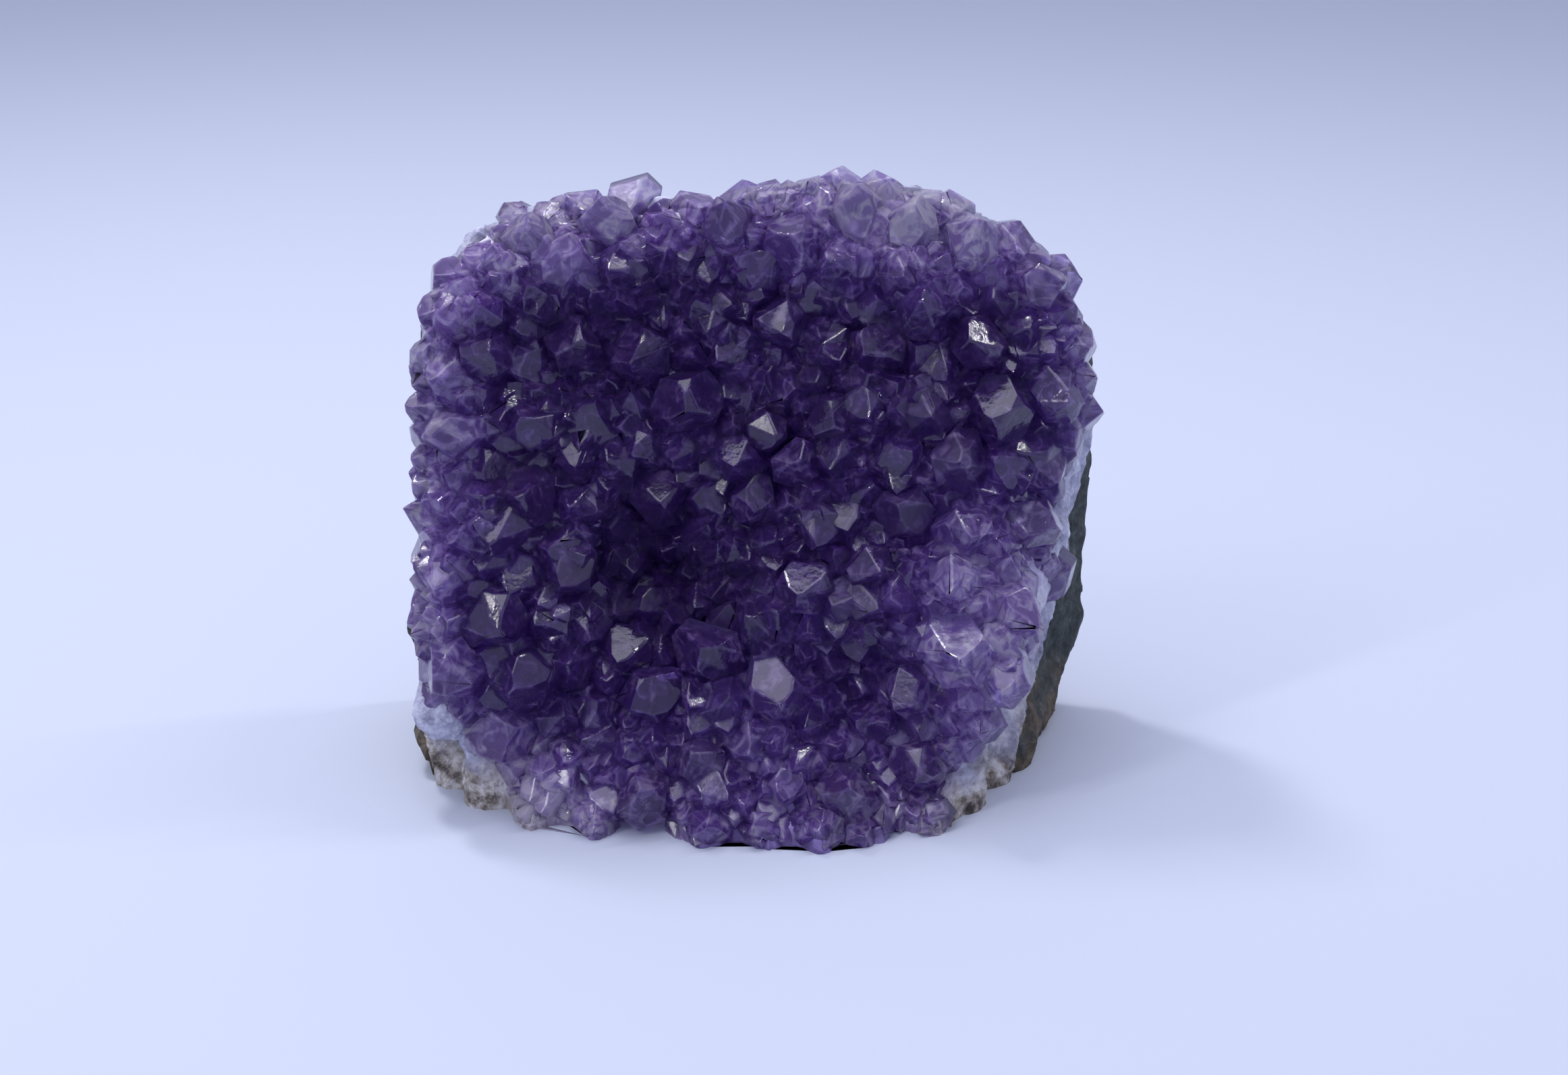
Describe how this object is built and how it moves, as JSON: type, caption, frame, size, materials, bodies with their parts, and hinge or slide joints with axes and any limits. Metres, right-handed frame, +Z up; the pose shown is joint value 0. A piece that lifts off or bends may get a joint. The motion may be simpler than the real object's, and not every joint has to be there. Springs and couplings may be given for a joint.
{
  "type": "amethyst cluster",
  "caption": "Block of geode wall with a sawn flat foot: basalt, a pale chalcedony band and a druse of violet amethyst points.",
  "frame": {"origin": "middle of the sawn foot's plane, under the middle of the whole cluster's box", "axes": "+X to the right seen from the front, +Y to the basalt back, +Z up; the crystal face looks towards -Y"},
  "size_m": [0.097, 0.0522, 0.0836],
  "materials": {
    "basalt": "broken, rough, matt",
    "chalcedony": "waxy, broken edge",
    "amethyst": "natural crystal faces, glossy"
  },
  "bodies": {
    "root": {"basalt_matrix": "basalt", "chalcedony_rind": "chalcedony", "amethyst_druse": "amethyst", "point_01": "amethyst", "point_02": "amethyst", "point_03": "amethyst", "point_04": "amethyst", "point_05": "amethyst", "point_06": "amethyst", "point_07": "amethyst", "point_08": "amethyst", "point_09": "amethyst", "point_10": "amethyst", "point_11": "amethyst", "point_12": "amethyst", "point_13": "amethyst", "point_14": "amethyst", "point_15": "amethyst", "point_16": "amethyst", "point_17": "amethyst", "point_18": "amethyst", "point_19": "amethyst", "point_20": "amethyst", "point_21": "amethyst", "point_22": "amethyst", "point_23": "amethyst", "point_24": "amethyst", "point_25": "amethyst", "point_26": "amethyst", "point_27": "amethyst", "point_28": "amethyst", "point_29": "amethyst", "point_30": "amethyst", "point_31": "amethyst", "point_32": "amethyst", "point_33": "amethyst", "point_34": "amethyst", "point_35": "amethyst", "point_36": "amethyst", "point_37": "amethyst", "point_38": "amethyst", "point_39": "amethyst", "point_40": "amethyst", "point_41": "amethyst", "point_42": "amethyst", "point_43": "amethyst", "point_44": "amethyst", "point_45": "amethyst"}
  },
  "joints": []
}
